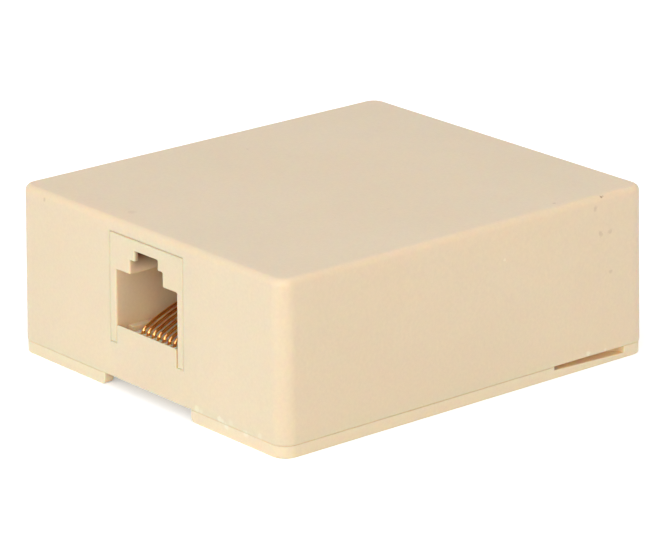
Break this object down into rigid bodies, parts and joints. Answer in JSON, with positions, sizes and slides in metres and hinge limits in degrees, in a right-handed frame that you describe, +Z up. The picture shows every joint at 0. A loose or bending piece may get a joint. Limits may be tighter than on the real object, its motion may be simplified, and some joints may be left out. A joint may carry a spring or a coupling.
{
  "type": "surface mount jack box",
  "caption": "Small ivory surface box with an 8P8C plug opening in its front; a tilting cover hides the screw terminals on the base.",
  "frame": {"origin": "centre of the underside, on the surface that the box is fixed to", "axes": "+X right seen from the plug side, +Y from the plug opening to the rear, +Z up out of the mounting surface"},
  "size_m": [0.0508, 0.0572, 0.0214],
  "materials": {
    "ivory_cover": "semi-matte moulded",
    "ivory_base": "semi-matte moulded",
    "ivory_jack": "satin moulded",
    "contact_gold": "gold plated wire",
    "insert_brass": "turned",
    "screw_steel": "zinc plated",
    "lug_tin": "tinned",
    "foam": "closed-cell foam tape",
    "lead_blue": "soft insulation",
    "lead_orange": "soft insulation",
    "lead_black": "soft insulation",
    "lead_red": "soft insulation",
    "lead_green": "soft insulation",
    "lead_yellow": "soft insulation",
    "lead_brown": "soft insulation",
    "lead_white": "soft insulation"
  },
  "bodies": {
    "box_base": {"base": "ivory_base", "jack_housing": "ivory_jack", "jack_rear_cap": "ivory_jack", "contact_carrier": "ivory_jack", "foam_pad_left": "foam", "foam_pad_right": "foam", "contact_1": "contact_gold", "lead_blue": "lead_blue", "terminal_insert_1": "insert_brass", "terminal_screw_1": "screw_steel", "spade_lug_1": "lug_tin", "contact_2": "contact_gold", "lead_orange": "lead_orange", "terminal_insert_2": "insert_brass", "terminal_screw_2": "screw_steel", "spade_lug_2": "lug_tin", "contact_3": "contact_gold", "lead_black": "lead_black", "terminal_insert_3": "insert_brass", "terminal_screw_3": "screw_steel", "spade_lug_3": "lug_tin", "contact_4": "contact_gold", "lead_red": "lead_red", "terminal_insert_4": "insert_brass", "terminal_screw_4": "screw_steel", "spade_lug_4": "lug_tin", "contact_5": "contact_gold", "lead_green": "lead_green", "terminal_insert_5": "insert_brass", "terminal_screw_5": "screw_steel", "spade_lug_5": "lug_tin", "contact_6": "contact_gold", "lead_yellow": "lead_yellow", "terminal_insert_6": "insert_brass", "terminal_screw_6": "screw_steel", "spade_lug_6": "lug_tin", "contact_7": "contact_gold", "lead_brown": "lead_brown", "terminal_insert_7": "insert_brass", "terminal_screw_7": "screw_steel", "spade_lug_7": "lug_tin", "contact_8": "contact_gold", "lead_white": "lead_white", "terminal_insert_8": "insert_brass", "terminal_screw_8": "screw_steel", "spade_lug_8": "lug_tin"},
    "box_cover": {"cover": "ivory_cover"}
  },
  "joints": [
    {"name": "cover_tilt", "type": "hinge", "parent": "box_base", "child": "box_cover", "pos_m": [0, -0.0286, 0.00166], "axis": [1, 0, 0], "range_deg": [0, 60]}
  ]
}
